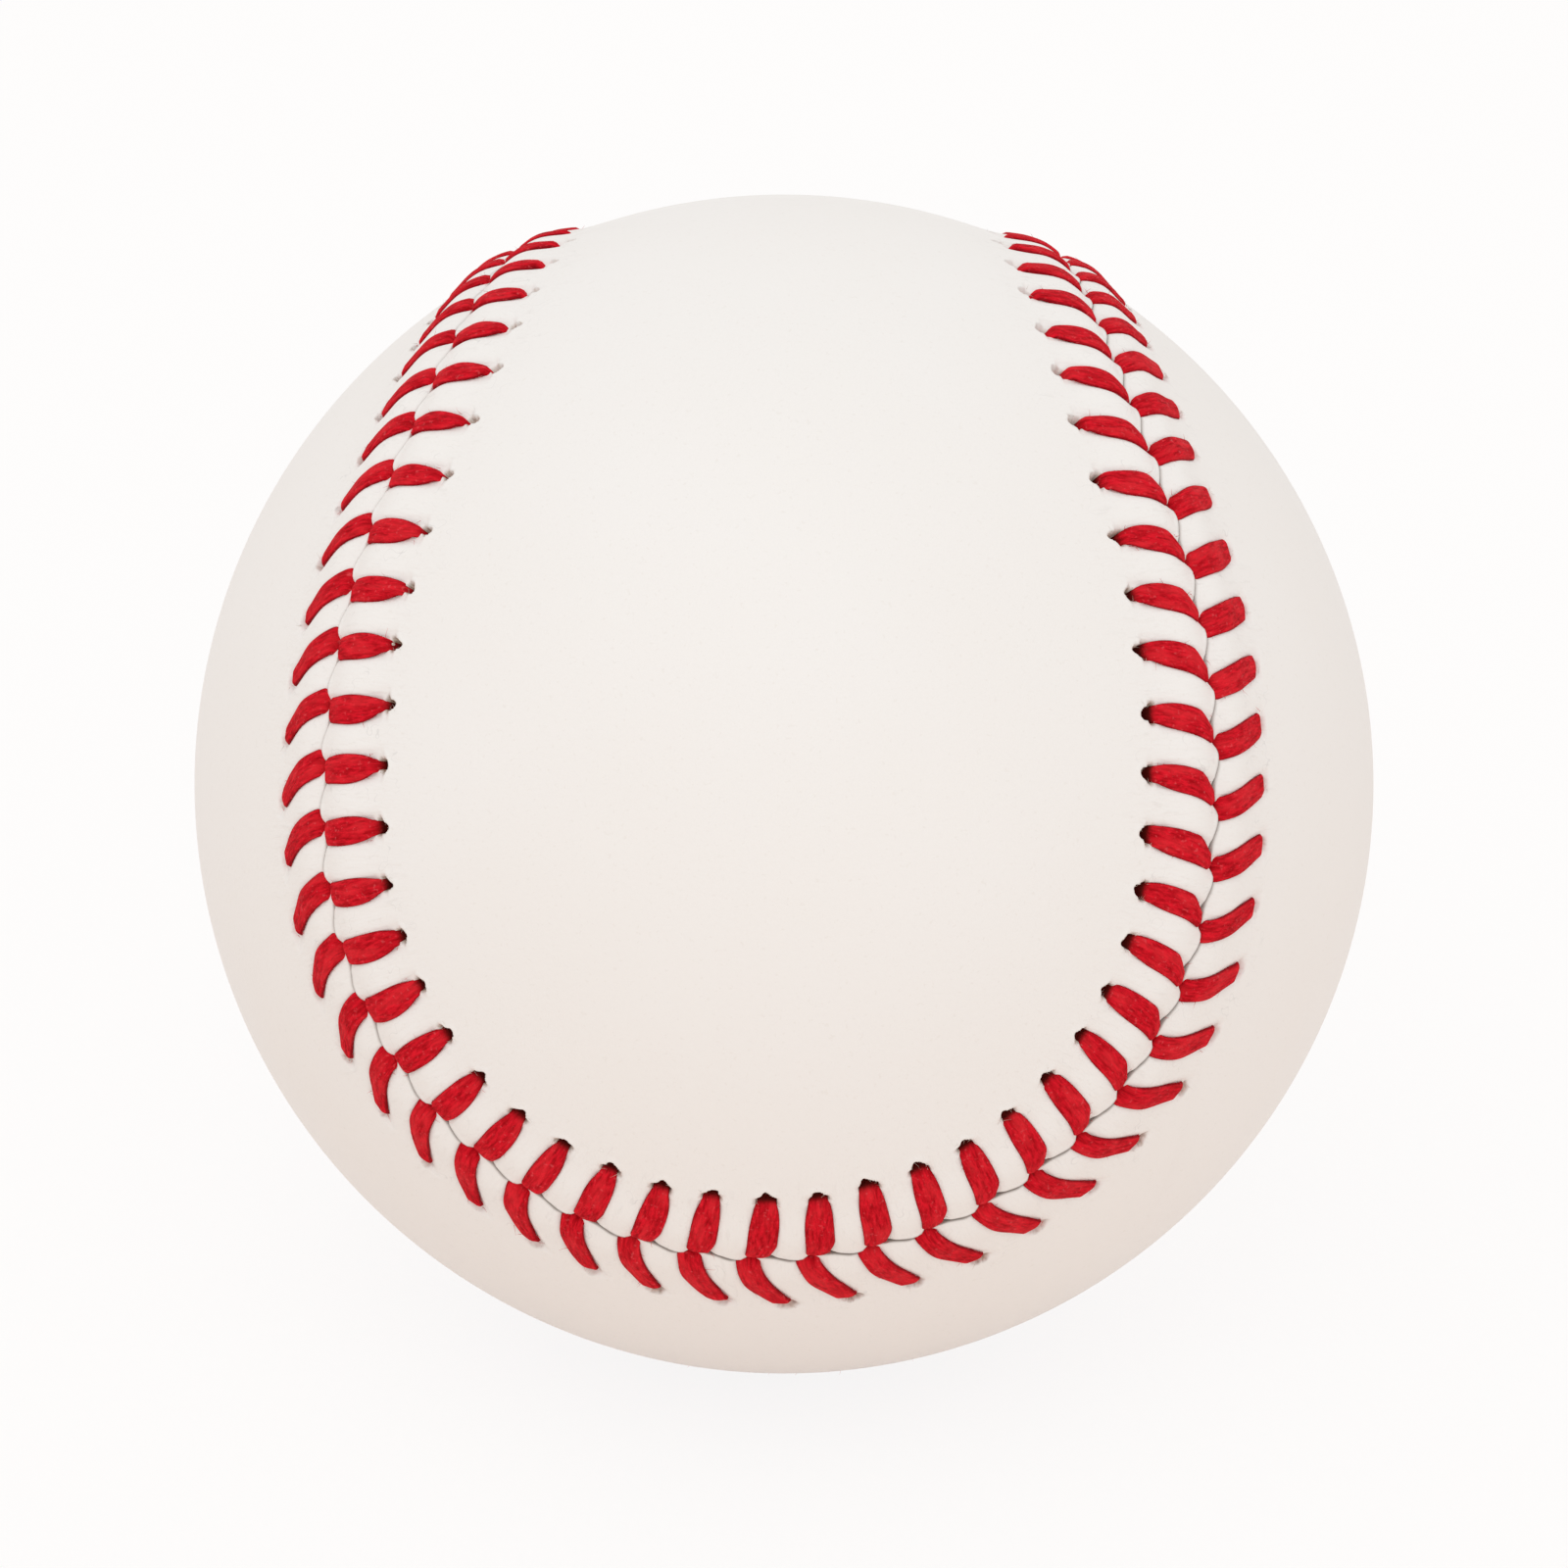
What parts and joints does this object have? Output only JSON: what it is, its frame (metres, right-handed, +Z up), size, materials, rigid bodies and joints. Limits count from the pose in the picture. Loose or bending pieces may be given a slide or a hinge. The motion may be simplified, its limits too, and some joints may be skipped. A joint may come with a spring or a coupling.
{
  "type": "baseball",
  "caption": "Baseball with a rubber-covered cork centre, wool windings and a white leather cover of figure-eight panels, laced with red thread along a raised seam.",
  "frame": {"origin": "middle of the ball, which is also the middle of every layer in it", "axes": "+Z up, as the ball lies in the picture; +X to the picture's right, along the lobe axis of cover panel B; -Y towards the viewer. The seam's waist axis leans back from +Z by 45 degrees, towards +Y, so that the ball rests on smooth leather"},
  "size_m": [0.0744, 0.0748, 0.0748],
  "materials": {
    "cork": "ground cork bound with rubber, matte",
    "black_rubber": "moulded, matte",
    "red_rubber": "moulded, matte",
    "gray_wool": "wound woollen yarn",
    "white_wool": "wound woollen yarn",
    "finishing_yarn": "wound fine poly-cotton yarn",
    "cement": "dried rubber cement, satin",
    "white_leather": "smooth full-grain, satin",
    "red_thread": "waxed twisted thread"
  },
  "bodies": {
    "root": {"cork_core": "cork", "black_shell_upper": "black_rubber", "black_shell_lower": "black_rubber", "core_washer": "red_rubber", "red_cup_left": "red_rubber", "red_cup_right": "red_rubber", "gray_four_ply_winding": "gray_wool", "white_three_ply_winding": "white_wool", "gray_three_ply_winding": "gray_wool", "finishing_winding": "finishing_yarn", "cement_coat": "cement", "cover_panel_a": "white_leather", "cover_panel_b": "white_leather", "lacing_thread": "red_thread"}
  },
  "joints": []
}
